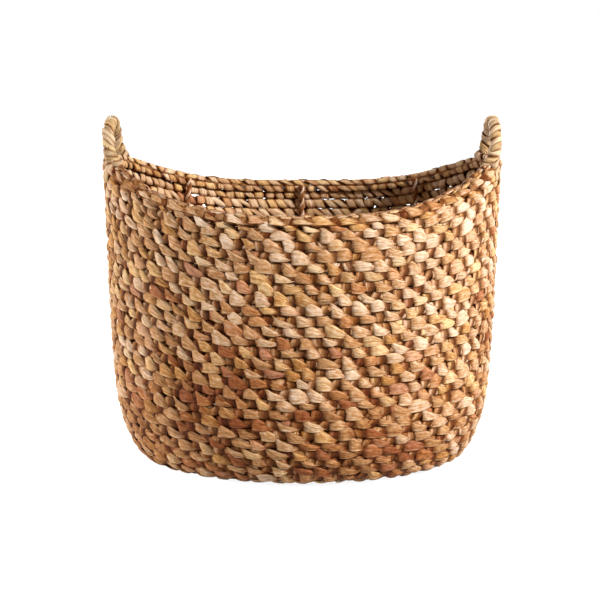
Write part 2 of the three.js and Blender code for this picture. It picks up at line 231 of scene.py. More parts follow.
class Pile:
    """Collects grids of strands, then writes them as one mesh."""

    def __init__(self):
        self.points, self.faces, self.uv, self.data, self.count = [], [], [], [], 0

    def add(self, points, u, v, tone, age, painted_light, edge, ring):
        """points (n, I, J, 3); u (n, I or I+1) and v (n, J+1) in mm; j always wraps round.

        tone and age are one value a strand. The painted light value (n, I, J) is painted shade:
        0 in a gap and 1 on top. The painted highlight value, of the same shape, is 1 where a pale
        highlight is painted. With ring, i wraps round too. Without it, both ends are closed by fans.
        """
        n, rows, columns, _ = points.shape
        base = self.count + (np.arange(n) * rows * columns)[:, None, None, None]
        spans = rows if ring else rows - 1
        i, j = np.meshgrid(np.arange(spans), np.arange(columns), indexing="ij")
        corners = [(i, j), (i + 1, j), (i + 1, j + 1), (i, j + 1)]
        index = np.stack([(a % rows) * columns + b % columns for a, b in corners], -1)
        self.faces.append((base + index[None]).reshape(-1, 4))
        uv = np.stack([np.stack([u[:, a], v[:, b]], -1) for a, b in corners], -2)
        self.uv.append(uv.reshape(-1, 2))
        self.points.append(points.reshape(-1, 3))
        values = (tone[:, None, None], age[:, None, None], painted_light, edge)
        whole = [np.broadcast_to(value, painted_light.shape).reshape(-1) for value in values]
        self.data.append(np.stack(whole, -1))
        self.count += n * rows * columns
        if not ring:
            self.cap(points, u, v, tone, age, painted_light, base.reshape(-1))

    def cap(self, points, u, v, tone, age, painted_light, base):
        """Closes both ends of open strands with a fan of triangles round a middle point."""
        n, rows, columns, _ = points.shape
        for end in (0, rows - 1):
            rim = base[:, None] + end * columns + np.arange(columns)[None]
            after = np.roll(rim, -1, axis=1)
            first, second = (after, rim) if end == 0 else (rim, after)
            pole = np.repeat(self.count + np.arange(n)[:, None], columns, 1)
            fan = np.stack([first, second, pole, np.full_like(pole, NO_CORNER)], -1)
            self.faces.append(fan.reshape(-1, 4))
            along = np.repeat(u[:, end][:, None], columns, 1)
            uv = np.stack([np.stack([along, v[:, :-1]], -1)] * 3, -2)
            self.uv.append(uv.reshape(-1, 2))
            self.points.append(points[:, end].mean(1))
            self.data.append(np.stack([tone, age, painted_light[:, end].mean(1), 0 * tone], -1))
            self.count += n

    def face_count(self):
        return sum(len(part) for part in self.faces)

    def mesh(self, name):
        """One mesh object from everything collected."""
        faces = np.concatenate(self.faces)
        loops = faces[faces != NO_CORNER]
        size = (faces != NO_CORNER).sum(1)
        first_loop = np.concatenate([[0], np.cumsum(size)[:-1]])
        data = bpy.data.meshes.new(name)
        data.vertices.add(self.count)
        data.vertices.foreach_set("co", (np.concatenate(self.points) * MM).astype(np.float32).ravel())
        data.loops.add(len(loops))
        data.loops.foreach_set("vertex_index", loops.astype(np.int32))
        data.polygons.add(len(faces))
        data.polygons.foreach_set("loop_start", first_loop.astype(np.int32))
        data.polygons.foreach_set("use_smooth", np.ones(len(faces), bool))
        layer = data.uv_layers.new(name="Grain")
        layer.data.foreach_set("uv", np.concatenate(self.uv).astype(np.float32).ravel())
        values = np.concatenate(self.data).astype(np.float32)
        for k, word in enumerate(VALUE_NAMES):
            data.attributes.new(word, "FLOAT", "POINT").data.foreach_set("value", values[:, k].copy())
        data.update(calc_edges=True)
        data.set_sharp_from_angle(angle=SHARP_ANGLE)
        piece = bpy.data.objects.new(name, data)
        scene.collection.objects.link(piece)
        return piece


# %% [markdown]
# ## What all strands share
# Dried stems have faint ribs along them, and differ in tone and age. These could come from
# the material alone, but a strand keeps one tone over its whole length, and only the mesh
# knows where a strand begins. So each draws its values once and carries them as attributes.

# %% Shared draws
RIB_WAVES = (4, 9)
RIB_PHASES = (0, 6)
GRAIN_SPREAD = (0, 400)
AGE_POWER, BROWN_AGE_POWER = 0.75, 1.75


def smooth(x):
    """3x^2 - 2x^3 between 0 and 1."""
    x = np.clip(x, 0, 1)
    return x * x * (3 - 2 * x)


def past(x, start):
    """How far x is on its way from start to 1, as a share, and 0 before it."""
    return np.clip((x - start) / (1 - start), 0, 1)


def ribs(rng, one, depths, side, drift=0):
    """Faint ribs across a strand: depth sin(waves side + phase + drift)."""
    depth = rng.uniform(*depths, one)
    return depth * np.sin(side * rng.uniform(*RIB_WAVES, one) + rng.uniform(*RIB_PHASES, one) + drift)


def dye(rng, n, tones, brown):
    """Tone and age of n strands. The age is a random share to a power, which is high in brown places."""
    return rng.uniform(*tones, n), rng.random(n) ** (AGE_POWER + BROWN_AGE_POWER * brown)


print("half-way values:", smooth(0.5), past(0.75, 0.5))

# %% [markdown]
# ## Bands
# A band is a short piece of strand wound round the cord. A torus would do for its ring, but a
# real one is fuller on the inside, and pinched at its sides, where light can pass between
# two rows. So its section is two half ovals with a depth and a height of their own, carried
# along a short way w and closed on itself through the cord.

# %% Bands
BAND_WAY = np.array([-1.0, -0.88, -0.5, 0.0, 0.5, 0.88, 1.0, 0.8, -0.8])
BAND_SHOWN = 7
BAND_RIBS = (0.01, 0.045)
HEIGHT_RANGE = (0.9, 1.04)
INSIDE_RANGE = (0.78, 1.05)
PINCH_POWER = 3.2
SQUARENESS = 0.9
RING_GRAIN = 2.6
ROW_CENTRE = -0.6
AROUND = 12
# Painted shade towards the seams between rows and under a leaf, and painted light on a band's inner side.
SEAM_REACH, SEAM_DEPTH = 0.85, 4.2
COVER_SHADE, COVER_WAY, COVER_SIDE = 0.9, 0.25, 0.4
INSIDE_PAINTED_LIGHT = 0.85


def bands(pile, strip, s, width, rng, high=6.3, out=5.2, inside=7.6, centre=ROW_CENTRE,
          pinch=(0.06, 0.26), lean=(1.2, 1.0), inner_lean=(0, 0), around=AROUND, core=0.5, bright=1.0,
          seam=0.12, side_shade=(0.97, 4), covered=2.0, tones=(0, 1), brown=0.0):
    """Rings of strand at the places s, each width millimetres along the strip.

    For w from -1 to 1 along it: a = high sin^q, r = centre + reach cos^q, both times
    full = 1 - pinch |w|^3.2, with reach = out on the outer side and inside on the other.
    The ring slants along the strip by lean sin, and by inner_lean more on its inner side.
    Painted shade darkens it with |w| to a power towards its sides, as the side shade pair
    says, and towards the seams between rows down to seam, all scaled by bright; a painted
    shadow darkens the outer side where w > covered, as it lies under a leaf.
    """
    n = len(s)
    one = (n, 1, 1)
    width, out, high, inside = (np.broadcast_to(np.asarray(v, float), (n,))[:, None, None]
                                for v in (width, out, high, inside))
    phi = np.linspace(0, 2 * np.pi, around, endpoint=False)[None, :, None]
    c, d = np.cos(phi), np.sin(phi)
    w = BAND_WAY[None, None, :]
    hidden = (np.arange(len(BAND_WAY)) >= BAND_SHOWN)[None, None, :]
    ribbed = 1 + ribs(rng, one, BAND_RIBS, w)
    full = np.where(hidden, core, (1 - rng.uniform(*pinch, one) * np.abs(w) ** PINCH_POWER) * ribbed)
    a = high * rng.uniform(*HEIGHT_RANGE, one) * np.sign(d) * np.abs(d) ** SQUARENESS * full
    reach = np.where(c > 0, out, inside * rng.uniform(*INSIDE_RANGE, one))
    r = centre + reach * np.sign(c) * np.abs(c) ** SQUARENESS * full
    inner_side = smooth(0.4 - 0.8 * c)
    tilt = (rng.normal(*lean, one) + rng.normal(*inner_lean, one) * inner_side) * d
    along = s[:, None, None] + w * width / 2 + tilt
    round_it = RING_GRAIN * (high.mean() + inside.mean())
    u = np.linspace(0, round_it, around + 1)[None] + rng.uniform(*GRAIN_SPREAD, (n, 1))
    v = np.append(BAND_WAY, BAND_WAY[0])[None] * width[:, 0] / 2 + rng.uniform(*GRAIN_SPREAD, (n, 1))
    # Painted shade: darker towards the seams between rows, at the sides, and where a leaf covers the outer
    # side.
    away = np.abs(r - centre) / np.minimum(SEAM_REACH * reach, SEAM_DEPTH)
    cover = smooth((w - covered) / COVER_WAY) * smooth(c / COVER_SIDE)
    face = (seam + (1 - seam) * smooth(away)) * (1 - COVER_SHADE * cover)
    painted_light = np.where(hidden, 0.0, bright * (1 - side_shade[0] * np.abs(w) ** side_shade[1])) * face
    # Painted light: the inner side of a band is painted paler.
    painted_pale = INSIDE_PAINTED_LIGHT * smooth((-c - 0.1) / 0.5) * (1 - np.abs(w) ** 3) * ~hidden
    pile.add(strip.points(along + 0 * a, a, r), u, v, *dye(rng, n, tones, brown), painted_light, painted_pale, True)


print("a band has", BAND_WAY.size * AROUND, "faces")

# %% [markdown]
# ## Leaves
# A leaf is the flat strand that shows on the outside. It starts with a folded, slanting blunt
# end, swells to a crest and runs out to a point under its neighbour. One could be sculpted
# and copied, but then all would be alike, so the leaf is a surface of x, from 0 at the blunt
# end to 1 at the tip, and of side, from -1 at its lower edge to 1 at its upper one.
#
# Leaves at the front and back of the basket are hooked more, like teeth, and those at the
# oval's ends are plump and pointed. front is 1 for the first and 0 for the second, right is 1
# at the right of the basket, and claw is the hook of a single leaf, from 0 to 1. LEAF_FOLD
# says how far the blunt end is folded under, and LEAF_BACK is 1 on the back.

# %% Leaf tables
LEAF_X = np.array([0.05, 0.0, 0.015, 0.08, 0.2, 0.33, 0.46, 0.6, 0.74, 0.88, 1.0])
LEAF_FOLD = np.array([2.8, 1.3, 0.25] + [0] * 8)
LEAF_SIDE = np.array([1, 0.83, 0.54, 0.2, -0.2, -0.54, -0.83, -1, -0.8, 0, 0.8])
LEAF_BACK = np.array([0.6, 0, 0, 0, 0, 0, 0, 0.6, 1, 1, 1])
print("a leaf has", (LEAF_X.size - 1) * LEAF_SIDE.size + 2 * LEAF_SIDE.size, "faces")

# %% [markdown]
# ### Outline of a leaf
# The hook is what makes the real weave look woven: the upper side drops early and steeply,
# and the point lies low. A pillow differs only in where its sides turn, so one formula with
# a claw in it draws both.

# %% Leaf outline
TIP_HALF = 0.7
CLAW_POWER = 0.8
HALF_RANGE = (0.72, 1.2)
TIP_RANGE = (0.55, 0.9)
UPPER_TURN, LOWER_TURN = (0.4, 0.6), (0.7, 0.95)
LOWER_POWERS = (0.9, 1.3)
RISE_SCATTER = 0.9
DRIFT, DRIFT_PIVOT = (-0.4, 1.6), 0.4


def leaf_outline(rng, one, x, side, half, rise, front, right):
    """Place across the row, and the claw.

    The upper side is level at h up to x = k and then falls to the tip as a power of the way
    left. The lower one is level at -h up to x = m and then rises to it. The whole leaf lies
    about rise above the middle of the row and drifts a little along it.
    """
    ends = 1 - front
    claw = rng.random(one) ** CLAW_POWER * (1 - (0.5 - 0.3 * right) * ends)
    h = half * rng.uniform(*HALF_RANGE, one) * (0.87 + 0.13 * front)
    tip = -h * (rng.uniform(*TIP_RANGE, one) - 0.25 * claw - 0.2 * ends)
    k = rng.uniform(*UPPER_TURN, one) - 0.34 * claw + 0.1 * ends
    m = rng.uniform(*LOWER_TURN, one) - 0.3 * claw
    upper = h + (tip + TIP_HALF - h) * past(x, k) ** (1.15 - 0.55 * claw)
    lower = -h + (tip - TIP_HALF + h) * past(x, m) ** rng.uniform(*LOWER_POWERS, one)
    centre = rng.normal(rise, RISE_SCATTER, one) + rng.normal(*DRIFT, one) * (x - DRIFT_PIVOT)
    return centre + lower + (upper - lower) * (side + 1) / 2, claw


print("leaf heights run from", HALF_RANGE[0], "to", HALF_RANGE[1], "of the usual one")

# %% [markdown]
# ### Face of a leaf
# Flattened stem isn't flat: it swells to a crest, is creased along, and is thicker where it
# is folded. A displaced plane would give the swelling but no edge, so front and back are one
# closed skin, whose distance from the wall is worked out here.

# %% Leaf face
CREASES = np.array([0.2, -0.2])
PEAK_RANGE = (0.25, 0.55)
CREST_POWER = 0.9
FOOT_LOSS, FOOT_SCATTER = 1.2, 0.6
TIP_GAIN, TIP_SCATTER = 0.8, 0.5
BEND_RANGE = (0.5, 2.4)
LEAF_RIBS = (0.1, 0.4)
TILT, END_TILT = (-0.45, 0.6), 1.1
BACK_ROOM = 0.3


def leaf_face(rng, one, x, side, high, low, tip, thick, limit, front):
    """Place out of the wall, on both faces of the leaf.

    The crest climbs as sin^0.9 from r = low at the blunt end to high at x = peak, and falls
    to tip as a power, 1.7 at the front and 2.6 at the ends. The leaf bends down on both sides
    of a crease, has ribs and a tilt, and its blunt end is folded under. The back is thick
    millimetres below the face, and nothing lies past limit.
    """
    ends = 1 - front
    back = LEAF_BACK[None, None, :]
    peak = rng.uniform(*PEAK_RANGE, one) + 0.1 * ends
    foot = low - FOOT_LOSS * ends + rng.normal(0, FOOT_SCATTER, one)
    crest = foot + (high - foot) * np.sin(np.pi / 2 * np.clip(x / peak, 0, 1)) ** CREST_POWER
    last = tip + TIP_GAIN * ends + rng.normal(0, TIP_SCATTER, one)
    crest = crest + (last - crest) * past(x, peak) ** (2.6 - 0.9 * front)
    crease = rng.choice(CREASES, one)
    bend = (rng.uniform(*BEND_RANGE, one) + 1 - front) * np.abs(side - crease) * (1 - 0.5 * x)
    ripple = ribs(rng, one, LEAF_RIBS, side, 2 * x)
    tilt = (rng.normal(*TILT, one) - END_TILT * ends) * side * (1 - 0.6 * x)
    r = crest - bend + ripple + tilt - LEAF_FOLD[None, :, None] - thick * back
    return np.minimum(r, limit - BACK_ROOM * back)


print("creases lie at", CREASES.tolist(), "of the half height")


# %% [markdown]
# ### Painted shade and highlight of a leaf
# Between real strands the light is lost, and their edges catch it. Lamps alone give too
# little of both at this size, so both are painted: one value tells the material how far out
# of a gap a point is, for painted shade, and one where a painted highlight lies.

# %% Leaf shade
# Painted shade at the blunt end, the tip, the back, the fold and in the gap, and a painted highlight along
# the rims.
ROOT_SHADE, ROOT_LOSS = 0.66, 0.3
BACK_SHADE, FOLD_SHADE, DEEP_SHADE = 0.08, 0.35, 0.05
DEEP_START, DEEP_WAY = 1.2, 3.6
RIM_START, RIM_WAY, RIM_BLUNT = 0.56, 0.26, 0.1
RIM_FADE_START, RIM_FADE_WAY = 0.55, 0.4
HIGHLIGHT_RANGE = (0.3, 1.0)


def leaf_shade(rng, one, x, side, r, tip_shade, front, right):
    """Painted shade and painted highlight of a leaf.

    The painted light value starts at root at the blunt end, which is painted shade, and is
    full from x = 0.8 - root on. Over the last half of x it falls by a random share within the
    given range, painted shade at the tip, and with r down to DEEP_SHADE, painted shade in the
    gap. The back and the fold of the blunt end get painted shade. The painted highlight is a
    rim along both sides and the blunt end, which fades towards the tip.
    """
    back = LEAF_BACK[None, None, :]
    # The blunt end gets painted shade, more at the right of the basket, where it faces away from the lamp.
    root = ROOT_SHADE - ROOT_LOSS * (1 - front) * right
    painted_light = 1 - rng.uniform(*tip_shade, one) * (0.4 + 0.6 * front) * smooth((x - 0.5) / 0.5)
    painted_light = painted_light * (root + (1 - root) * smooth(x / (0.8 - root)))
    out_of_gap = DEEP_SHADE + (1 - DEEP_SHADE) * smooth((r - DEEP_START) / DEEP_WAY)
    painted_light = painted_light * np.where(back > 0.5, BACK_SHADE, 1) * out_of_gap
    painted_light = painted_light * np.where((LEAF_FOLD > 1)[None, :, None], FOLD_SHADE, 1)
    # Painted highlight: a pale rim along both sides and the blunt end.
    sides = smooth((np.abs(side) - RIM_START) / RIM_WAY) * (back < 0.8)
    rim = np.maximum(sides, smooth(1 - x / RIM_BLUNT))
    edge = rim * (1 - smooth((x - RIM_FADE_START) / RIM_FADE_WAY)) * rng.uniform(*HIGHLIGHT_RANGE, one)
    return painted_light, edge


print("leaves are dark below", DEEP_START, "mm and bright above", DEEP_START + DEEP_WAY)

# %% [markdown]
# ### Leaves on a strip
# On the real wall the blunt ends slant, because each stem comes up from under the cord at an
# angle, and they curl in a little. So the outline isn't moved as a whole: its blunt end is
# skewed and hollowed, and the tip stays where it is.

# %% Leaves
FRONT_START, FRONT_WAY = 0.45, 0.4
RIGHT_WAY = 120
LEAF_LIMIT = THICKNESS / 2 - 0.05
SKEW_RANGE, CLAW_SKEW, SKEW_POWER = (0.5, 3.0), 3.8, 1.5
HOLLOW, HOLLOW_POWER = (2.0, 0.8), 8


# The range given for the tip sets the painted shade towards the tip.
def leaves(pile, strip, s, length, rng, half=8.4, rise=0.7, high=6.5, low=3.4, tip=0.9, thick=1.2,
           slant=1.0, limit=LEAF_LIMIT, tip_shade=(0.0, 0.75), tones=(0, 1), brown=0.0):
    """Flat leaves on the outside of a strip, from their blunt end at s to their tip.

    The blunt end is skewed along the strip, most at its lower side, and hollow by a
    parabola; both die out along the leaf as powers of 1 - x.
    """
    n = len(s)
    one = (n, 1, 1)
    x, side = LEAF_X[None, :, None], LEAF_SIDE[None, None, :]
    at = strip.points(s, 0 * s, 0 * s)[:, None, None]
    front = smooth((np.abs(at[..., 1]) / RIM_HALF[1] - FRONT_START) / FRONT_WAY)
    right = smooth(at[..., 0] / RIGHT_WAY)
    a, claw = leaf_outline(rng, one, x, side, half, rise, front, right)
    r = leaf_face(rng, one, x, side, high, low, tip, thick, limit, front)
    skew = rng.uniform(*SKEW_RANGE, one) * (1.5 - 0.5 * front) + CLAW_SKEW * claw
    skew = slant * skew * (1 - side) / 2 * (1 - x) ** SKEW_POWER
    hollow = rng.normal(*HOLLOW, one) * (1 - side ** 2) * (1 - x) ** HOLLOW_POWER
    along = s[:, None, None] + x * length[:, None, None] + skew + hollow
    u = x[:, :, 0] * length[:, None] + rng.uniform(*GRAIN_SPREAD, (n, 1))
    v = np.append(LEAF_SIDE, LEAF_SIDE[0])[None] * half + rng.uniform(*GRAIN_SPREAD, (n, 1))
    painted_light, edge = leaf_shade(rng, one, x, side, r, tip_shade, front, right)
    pile.add(strip.points(along, a, r), u, v, *dye(rng, n, tones, brown), painted_light, edge, False)


print("nothing of a leaf lies more than", LEAF_LIMIT, "mm out of the wall's middle")

# %% [markdown]
# ## Cords
# A cord is the core of each row, and on its own the wound hoop and rods of the base. A curve
# with a round bevel would be smooth, but twist shows as slanting ridges, so the radius
# changes along the cord and round it. The strands that are wound round it later stand at
# nearly even places: they drift a little, because no weaver keeps them quite even.

# %% Cords
RIDGE, RIDGE_SHADE = 0.13, 2.2
UNEVEN_WAVE = 0.9
SLOW_WAVES, SLOW_DRIFT = 3, 0.10
QUICK_WAVES, QUICK_DRIFT = 7, 0.06
PLACE_SCATTER = 0.05


def cord(pile, strip, radius=3.9, centre=ROW_CENTRE, step=8.0, lay=0.0, tone=0.35, painted_light=0.0, sides=8,
         uneven=0.06):
    """A round cord: radius (1 - twist) for a turn round it.

    twist is 0.13 |sin(pi s / lay + turn / 2)|, where lay is the length of one turn. Without
    a lay it is uneven sin(0.9 s + 2 turn).
    """
    stations = int(strip.length / step)
    s = np.linspace(0, strip.length, stations, endpoint=not strip.closed)[None, :, None]
    turn = np.linspace(0, 2 * np.pi, sides, endpoint=False)[None, None, :]
    # The cord's colour is scaled by its painted light value; with a lay, the grooves of the twist get
    # painted shade as well.
    if lay:
        twist = RIDGE * np.abs(np.sin(np.pi * s / lay + turn / 2))
        shade = painted_light * (1 - RIDGE_SHADE * twist)
    else:
        twist = uneven * np.sin(s * UNEVEN_WAVE + 2 * turn)
        shade = np.full(twist.shape, painted_light)
    a = radius * np.sin(turn) * (1 - twist)
    r = centre + radius * np.cos(turn) * (1 - twist)
    u = np.linspace(0, strip.length, stations + 1)[None]
    v = np.linspace(0, 2 * np.pi * radius, sides + 1)[None]
    tone = np.array([tone])
    pile.add(strip.points(s + 0 * a, a, r), u, v, tone, tone, shade, 0 * shade, strip.closed)


def starts(strip, units, phase, rng):
    """Places of the units along a strip: even steps with two slow waves and a small scatter."""
    k = np.arange(units)
    slow, quick = (np.sin(2 * np.pi * (waves * k / units + rng.random()))
                   for waves in (SLOW_WAVES, QUICK_WAVES))
    drift = SLOW_DRIFT * slow + QUICK_DRIFT * quick
    return (k + phase + drift + rng.normal(0, PLACE_SCATTER, units)) * strip.length / units


print("units drift by up to", SLOW_DRIFT + QUICK_DRIFT, "of a unit")


# %% [markdown]
# ## Brown and pale places
# On the real basket the stems are browner in broad patches; the stems at the upper right are
# also drawn paler. A noise texture would put such patches anywhere, so each has its place: x,
# y, z and its spread, in millimetres. ROW_TONES are the lowest and highest tone in a row; a
# brown place takes BROWN_TONES from them and a pale one adds PALE_TONES.

# %% Patches
PALE_PATCH = np.array([(205, -95, 270, 130)])
BROWN_PATCHES = np.array([(-130, -150, 110, 105), (-215, -60, 60, 60), (222, -60, 165, 30),
                          (60, -160, 30, 110), (-40, 170, 150, 100), (190, 90, 90, 80),
                          (-190, 100, 250, 60)])
BROWN_TONES, PALE_TONES = (0.34, 0.36), (0.2, 0.1)
ROW_TONES = (0.38, 0.87)


def nearness(strip, s, patches):
    """How near s is to the nearest patch, 0 to 1: exp(-distance^2 / spread^2)."""
    away = strip.points(s, 0 * s, 0 * s)[:, None] - patches[None, :, :3]
    return np.exp(-(away ** 2).sum(-1) / patches[:, 3] ** 2).max(-1)


print(len(BROWN_PATCHES), "brown patches and", len(PALE_PATCH), "pale one")

# %% [markdown]
# ## One woven row
# A row of the real wall is a thin cord wound with flat stem, and each turn ends in the leaf
# that shows outside. A unit here is one such turn: two bands round the cord and one leaf over
# them. Odd rows start half a unit further on, as bricks do. The base and the lowest rows are
# drawn tight, with hardly any light between them; the others have small gaps.

# %% Woven row
UNITS, LOW_UNITS, FEWEST_UNITS = 52, 43, 6
LOW_ROWS, TIGHT_ROWS = 9, 4
BASE_UNIT = 27
BASE_FULL, TIGHT_FULL = 1.12, 1.06
TIGHT_PINCH, LOOSE_PINCH = (0, 0.06), (0.06, 0.26)
PHASE_SCATTER = 0.05
SIZE_RANGE = (0.88, 1.08)
BAND_WIDTHS = (0.54, 0.52)
OPEN_HIGH, UNDER_HIGH = 6.6, (6.5, 7.3)
LEAF_DELAY, LEAF_LENGTHS = (0.0, 0.12), (1.0, 1.45)


def row_units(level, length):
    """Leaves in a row: fewer low on the wall, and in the base one for each 27 mm."""
    if level >= LOW_ROWS:
        return UNITS
    return LOW_UNITS if level >= 0 else max(FEWEST_UNITS, int(round(length / BASE_UNIT)))


def weave(level, seed):
    """One row: a cord, and for each unit an open band, a band under the leaf, and the leaf."""
    rng = np.random.default_rng(seed)
    pile, strip = Pile(), row_strip(level)
    units = row_units(level, strip.length)
    unit = strip.length / units
    phase = 0.5 * (level % 2) + rng.normal(0, PHASE_SCATTER)
    start = starts(strip, units, phase, rng)
    brown, pale = nearness(strip, start, BROWN_PATCHES), nearness(strip, start, PALE_PATCH)
    tones = tuple(tone - less * brown + more * pale
                  for tone, less, more in zip(ROW_TONES, BROWN_TONES, PALE_TONES))
    full = BASE_FULL if level < 0 else TIGHT_FULL if level < TIGHT_ROWS else 1.0
    pinch = TIGHT_PINCH if level < TIGHT_ROWS else LOOSE_PINCH
    # The side shade pair paints shade at the sides of every band, where bands meet.
    shared = {"pinch": pinch, "inner_lean": (2.2, 2.5), "side_shade": (0.97, 7), "tones": tones, "brown": brown}
    # The cord is painted dark, as the shade in the gaps between bands and leaves.
    cord(pile, strip, tone=0.25, painted_light=0.12)
    size = rng.uniform(*SIZE_RANGE, units)
    open_width, under_width = (share * unit for share in BAND_WIDTHS)
    bands(pile, strip, start + 0.5 * unit, open_width * size, rng, high=OPEN_HIGH * full,
          out=rng.uniform(4.0, 5.2, units), lean=(0.8, 2.2), **shared)
    # The band under each leaf is painted a little darker, and a painted shadow darkens it where the leaf
    # covers it.
    bands(pile, strip, start, under_width * size[::-1], rng, out=rng.uniform(4.0, 5.4, units),
          high=full * rng.uniform(*UNDER_HIGH, units), lean=(1.6, 2.0), bright=0.92, covered=-0.15,
          **shared)
    leaf_start = start + rng.uniform(*LEAF_DELAY, units) * unit
    lengths = unit * rng.uniform(*LEAF_LENGTHS, units)
    leaves(pile, strip, leaf_start, lengths, rng, tones=tones, brown=brown)
    return pile


print("leaves on the wall:", LOW_ROWS * LOW_UNITS + (WALL_ROWS - LOW_ROWS) * UNITS)


# %% [markdown]
# ## The woven rows
# The CAD part has one solid for each row, from the oval pad in the base up to the rim. One
# mesh for the whole wall would be simpler, but the basket stays a set of separate parts, so
# each row is a piece of its own that stands for its solid.

# %% Rows
FIRST_SEED = 100
pieces = []


def place(piece, nodes):
    """The piece rides on the body and stands for its CAD nodes."""
    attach(piece, "root")
    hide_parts(*nodes)
    pieces.append(piece)
    return piece


def row_node(level):
    """The CAD node of a row. Level 0 is the lowest row of the wall."""
    if level < -BASE_ROWS:
        return "base_core"
    return f"base_row_{level + BASE_ROWS + 1}" if level < 0 else f"wall_row_{level + 1:02d}"


faces = 0
for level in range(-BASE_ROWS - 1, WALL_ROWS):
    pile = weave(level, FIRST_SEED + level)
    place(pile.mesh(f"weave_{row_node(level)}"), [row_node(level)])
    faces += pile.face_count()
print("woven rows:", len(pieces), "faces:", faces)

# %% [markdown]
# ## The rim
# The real rim is bound: strand is wound over the top hoop, ropes of short lengths run along
# the top and down the inner face, and leaves lie along the outer face and on the brow above
# it. A plain tube would lose this knotted look, so the same bands and leaves are used
# again, on lines that run along the rim. A rope is its place out and up from the seam, its
# half depth and half height, the spacing of its lengths, and their tones.

# %% Rim binding
ROPES = [
    (-10.2, 10.9, (4.1, 4.2), 16.5, (0.35, 0.9)),
    (-9.6, 2.8, (4.2, 5.0), 14.0, (0.1, 0.75)),
    (-4.2, 12.0, (3.0, 2.8), 15.5, (0.45, 1)),
]
KNOT_SWELL, KNOT_SHARE = 0.28, 0.09
WRAP_STEP = 12.5
RIM_SEED = 7


def rim_wraps(pile, rng):
    """Wide, dark bands round the rim hoop, under everything else."""
    heart = rim_strip(-3.2, BINDING / 2 - 0.4)
    wraps = int(heart.length / WRAP_STEP)
    s = (np.arange(wraps) + rng.normal(0, 0.07, wraps)) * heart.length / wraps
    # These bands are painted dark, as shade, since they lie under everything else.
    bands(pile, heart, s, rng.uniform(12, 14.5, wraps), rng, high=5.9, out=8.2, inside=9.4, centre=0,
          pinch=(0.1, 0.2), lean=(2.0, 1.5), core=0.75, bright=0.42, seam=1)


def rim_ropes(pile, rng):
    """Three ropes of short lengths, of which one in eleven or so is thick as a knot."""
    for out, up, (depth, height), spacing, tones in ROPES:
        rope = rim_strip(out, up)
        lengths = int(rope.length / spacing)
        s = starts(rope, lengths, rng.random(), rng) + rng.normal(0, 0.1, lengths) * spacing
        knots = 1 + KNOT_SWELL * (rng.random(lengths) < KNOT_SHARE)
        # Painted shade darkens each length towards its top and bottom.
        bands(pile, rope, s, rng.uniform(0.75, 1.25, lengths) * spacing, rng,
              high=height * rng.uniform(0.8, 1, lengths) * knots, out=depth * knots,
              inside=depth * rng.uniform(0.8, 1.0, lengths) * knots, centre=0, pinch=(0.15, 0.4),
              lean=(2.4, 2.2), seam=0.3, tones=tones)


def rim(seed):
    """The binding: wound bands, ropes, and a ring of leaves on the face and one on the brow."""
    rng = np.random.default_rng(seed)
    pile = Pile()
    rim_wraps(pile, rng)
    rim_ropes(pile, rng)
    face = rim_strip(0, 2.0)
    unit = face.length / UNITS
    start = starts(face, UNITS, 0.5 * (WALL_ROWS % 2), rng)
    leaves(pile, face, start, unit * rng.uniform(0.95, 1.25, UNITS), rng, half=6.2, rise=0.6,
           tones=(0.3, 0.95))
    brow = rim_strip(0.2, 8.4, sloping=True)
    leaves(pile, brow, start + 0.5 * unit, unit * rng.uniform(1.0, 1.35, UNITS), rng, half=6.2, rise=0,
           high=5.4, low=3.4, tip=1.8, limit=5.8, tones=(0.3, 1))
    return pile


pile = rim(RIM_SEED)
place(pile.mesh("rim_binding_strands"), ["rim_binding"])
print("rim faces:", pile.face_count())

# %% [markdown]
# ## The rim hoop
# Inside the binding lies the rod that carries it, just inside the wall. It is a plain tube,
# since only a glint of it can ever be seen between the strands.

# %% Rim hoop
HOOP_LINE = -THICKNESS / 2 - GAP - HOOP / 2
HOOP_RISE = 3.6
pile = Pile()
cord(pile, rim_strip(HOOP_LINE, HOOP_RISE), radius=HOOP / 2, centre=0, step=5, sides=10, uneven=0)
hoop_rod = place(pile.mesh("rim_hoop_rod"), ["rim_hoop"])
print("rim hoop faces:", pile.face_count())

# %% [markdown]
# ## Handles
# Each handle is a rod arch wound with paler strand, one turn beside the other, from one foot
# on the rim to the other. A screw-shaped tube could follow the arch, but the real turns
# overlap unevenly, so each is a band of its own width. Two leaves and two more bands tie
# each foot to the rim.

# %% Handle lines
HANDLE_HALF = 46.0
HANDLE_TOP = 426.0
HANDLE_LEAN, LEAN_POWER = 12.5, 4
HANDLE_POWER = 0.85
WRAP_SINK = 5.0
ARCH_STATIONS, FOOT_STATIONS = 241, 12
FOOT_HIGH, FOOT_DROP = 20, 42
FOOT_OUT, FOOT_SPREAD = 1.2, 1.6
FOOT_ANGLE = math.asin(HANDLE_HALF / (RIM_HALF[1] + HOOP_LINE))


def handle_strip(side):
    """Middle line of a handle: y = w cos^p, z = foot + rise sin^p, leaning outward at its foot."""
    seam, normal = middle(WALL_ROWS, np.array([FOOT_ANGLE]))
    base = seam[0] + normal[0] * HOOP_LINE + UP * (BINDING - WRAP_SINK)
    angle = np.linspace(0, np.pi, ARCH_STATIONS)
    up = np.abs(np.sin(angle)) ** HANDLE_POWER
    across = np.sign(np.cos(angle)) * np.abs(np.cos(angle)) ** HANDLE_POWER
    lean = HANDLE_LEAN * (1 - (1 - up) ** LEAN_POWER)
    rise = base[2] + (HANDLE_TOP - base[2]) * up
    line = np.stack([side * (base[0] + lean), HANDLE_HALF * across, rise], -1)
    tangent = unit_length(np.gradient(line, axis=0))
    outward = unit_length(np.cross(tangent, np.array([1.0, 0, 0])) * -1)
    return Strip(line, np.cross(outward, tangent), outward, closed=False)


